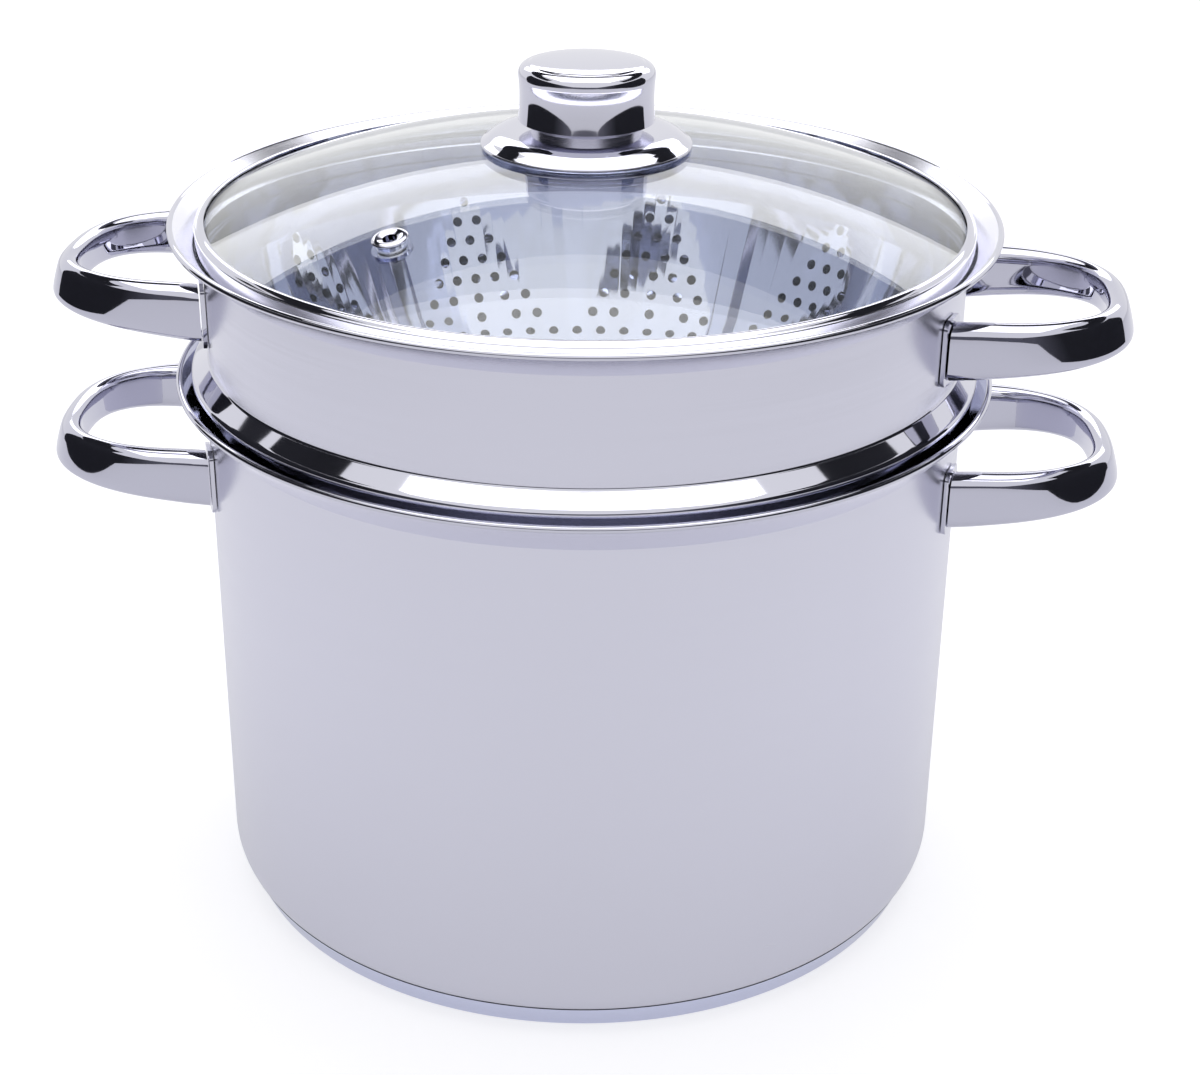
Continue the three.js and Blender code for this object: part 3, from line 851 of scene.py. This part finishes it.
def knob():
    shoulder = KNOB_TOP - KNOB_CROWN - KNOB_ROUND
    side = KNOB_FOOT + KNOB_NECK_HEIGHT
    step = (KNOB_RADIUS - KNOB_NECK) / 2
    waist = KNOB_RADIUS - KNOB_WAIST
    rise = shoulder - side
    flank = [(KNOB_RADIUS - waist * math.sin(math.pi * i / ARC_STEPS), side + rise * i / ARC_STEPS)
             for i in range(ARC_STEPS)]
    crown_radius = KNOB_RADIUS - KNOB_ROUND
    crown = [(crown_radius * math.cos(math.pi / 2 * i / ARC_STEPS),
              KNOB_TOP - KNOB_CROWN + KNOB_CROWN * math.sin(math.pi / 2 * i / ARC_STEPS))
             for i in range(1, ARC_STEPS)]
    outer = [
        (KNOB_NECK, KNOB_FOOT),
        (KNOB_NECK, side - step),
        *flank,
        *arc(KNOB_RADIUS - KNOB_ROUND, shoulder, KNOB_ROUND, 0, 90),
        *crown,
        (0, KNOB_TOP),
    ]
    inner = inner_line(outer, KNOB_SHEET)
    inner[-1] = (0, KNOB_TOP - KNOB_SHEET)
    piece = turned_ring("knob", [*outer, *reversed(inner)], SMALL_STEPS)
    finish_by_place(piece, (MIRROR, SATIN), lambda radius, height, outward: int(height < side))
    seat(piece, "lid", "polished", "knob_cap")


# Frame pieces that show as they are
def dress_frame():
    for name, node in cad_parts.items():
        if name in ("screw_washer", "knob_screw"):
            wear(node, MIRROR)
        elif name in ("knob_seal", "lower_seal"):
            wear(node, SILICONE)
        elif name in ("base_core", "knob_insert"):
            wear(node, ALUMINIUM)


# Stage
def softbox(name, size, place, aim, radiance):
    """A soft lamp whose face looks as bright as the given radiance."""
    data = bpy.data.lights.new(name, "AREA")
    data.shape = "RECTANGLE"
    data.size, data.size_y = size
    data.energy = radiance * math.pi * size[0] * size[1]
    lamp = bpy.data.objects.new(name, data)
    bpy.context.scene.collection.objects.link(lamp)
    lamp.location = place
    lamp.rotation_euler = (Vector(aim) - Vector(place)).to_track_quat("-Z", "Y").to_euler()
    lamp.visible_camera = False


def floor():
    """White paper that the camera sees as white where no shadow falls."""
    deselect()
    bpy.ops.mesh.primitive_plane_add(size=FLOOR_SIZE, location=(0, 0, FLOOR_LEVEL))
    made = bpy.context.object
    made.name = "floor"
    material, tree, shader = blank("white_paper")
    shader.inputs["Base Color"].default_value = linear("ababb1")
    shader.inputs["Roughness"].default_value = 0.9
    shader.inputs["Emission Color"].default_value = (1, 1, 1, 1)
    path = add(tree, "ShaderNodeLightPath")
    seen = add(tree, "ShaderNodeMath", operation="MULTIPLY", input_0=path.outputs["Is Camera Ray"],
               input_1=PAPER_SEEN)
    glow = add(tree, "ShaderNodeMath", operation="MULTIPLY_ADD", input_0=path.outputs["Is Glossy Ray"],
               input_1=PAPER_MIRRORED, input_2=seen.outputs[0])
    tree.links.new(glow.outputs[0], shader.inputs["Emission Strength"])
    wear(made, material)


def black_cloth():
    """Black felt, grey in the middle and far in front, and pale to what passes the glass."""
    material, tree, shader = blank("black_cloth")
    shader.inputs["Roughness"].default_value = 1
    shader.inputs["Emission Color"].default_value = linear("e8ecfa")
    place = add(tree, "ShaderNodeTexCoord")
    split = add(tree, "ShaderNodeSeparateXYZ", Vector=place.outputs["Object"])
    aside = add(tree, "ShaderNodeMath", operation="ABSOLUTE", input_0=split.outputs["X"])
    share = add(tree, "ShaderNodeMapRange", From_Min=GREY_WIDTH / 2, From_Max=GREY_WIDTH,
                Value=aside.outputs[0])
    back = add(tree, "ShaderNodeMapRange", From_Min=GREY_FRONT, From_Max=BLACK_FROM,
               Value=split.outputs["Y"])
    black = add(tree, "ShaderNodeMath", operation="MULTIPLY", input_0=share.outputs[0],
                input_1=back.outputs[0])
    shade = add(tree, "ShaderNodeMix", data_type="RGBA", Factor=black.outputs[0],
                input_6=linear("74747e"), input_7=linear("1c1d24"))
    tree.links.new(shade.outputs[2], shader.inputs["Base Color"])
    path = add(tree, "ShaderNodeLightPath")
    glow = add(tree, "ShaderNodeMath", operation="MULTIPLY", input_0=path.outputs["Is Transmission Ray"],
               input_1=WALL_THROUGH)
    tree.links.new(glow.outputs[0], shader.inputs["Emission Strength"])
    return material


def dark_wall(name, corners, across, along, low, high, edge, behind, cloth):
    """A black part of a room wall, before or behind a line, which only steel and glass show."""
    half_step = math.pi / corners
    deselect()
    bpy.ops.mesh.primitive_cylinder_add(
        vertices=corners, radius=1 / math.cos(half_step), depth=high - low, end_fill_type="NOTHING",
        location=(0, 0, (low + high) / 2), rotation=(0, 0, half_step))
    made = settle(bpy.context.object)
    made.name = name
    made.scale = (across, along, 1)
    settle(made)
    bpy.ops.object.mode_set(mode="EDIT")
    bpy.ops.mesh.select_all(action="SELECT")
    bpy.ops.mesh.bisect(
        plane_co=(0, edge, 0), plane_no=(0, 1, 0), clear_inner=behind, clear_outer=not behind)
    bpy.ops.object.mode_set(mode="OBJECT")
    wear(made, cloth)
    made.visible_camera = False
    made.visible_diffuse = False
    made.visible_shadow = False


def sky():
    """Even white all round; what the eye and the metal see is white, what lights dull things is softer."""
    world = bpy.data.worlds.new("studio")
    world.use_nodes = True
    bpy.context.scene.world = world
    tree = world.node_tree
    background = tree.nodes["Background"]
    background.inputs["Color"].default_value = (1, 1, 1, 1)
    path = add(tree, "ShaderNodeLightPath")
    seen = add(tree, "ShaderNodeMath", operation="MAXIMUM", input_0=path.outputs["Is Camera Ray"],
               input_1=path.outputs["Is Glossy Ray"])
    through = add(tree, "ShaderNodeMath", operation="MAXIMUM", input_0=seen.outputs[0],
                  input_1=path.outputs["Is Transmission Ray"])
    strength = add(tree, "ShaderNodeMapRange", To_Min=FILL, To_Max=1, Value=through.outputs[0])
    tree.links.new(strength.outputs[0], background.inputs["Strength"])


def studio():
    floor()
    cloth = black_cloth()
    dark_wall("dark_room", 4, ROOM_SIDE, ROOM_FRONT, ROOM_LOW, ROOM_HEIGHT, ROOM_BACK, False, cloth)
    dark_wall("dark_gap", WIDE_STEPS, GAP_AWAY, GAP_AWAY, GAP_LOW, GAP_HIGH, GAP_FRONT, True, cloth)
    sky()
    softbox("overhead", OVERHEAD_SIZE, OVERHEAD_PLACE, OVERHEAD_AIM, OVERHEAD_RADIANCE)
    softbox("behind", BEHIND_SIZE, BEHIND_PLACE, BEHIND_AIM, BEHIND_RADIANCE)


def camera():
    azimuth = math.radians(2.5)
    pitch = math.radians(25.62)
    roll = math.radians(0.65)
    back = 659.1 * MM
    height = 427.54 * MM
    aside = 5.5 * MM
    lens_mm = 65.894
    sensor_mm = 36
    data = bpy.data.cameras.new("camera")
    data.lens = lens_mm
    data.sensor_width = sensor_mm
    view = bpy.data.objects.new("camera", data)
    bpy.context.scene.collection.objects.link(view)
    heading = Matrix.Rotation(azimuth, 4, "Z")
    tilt = Matrix.Rotation(math.pi / 2 - pitch, 4, "X")
    spin = Matrix.Rotation(roll, 4, "Z")
    view.matrix_world = heading @ Matrix.Translation((aside, -back, height)) @ tilt @ spin
    bpy.context.scene.camera = view


camera()
studio()
pot_body()
base_pan()
colander_collar()
colander_bowl()
handles()
lid_dome()
lid_ring()
vent_ring()
vent_backing()
knob_plate()
knob()
dress_frame()

bpy.context.scene.view_settings.view_transform = "Standard"
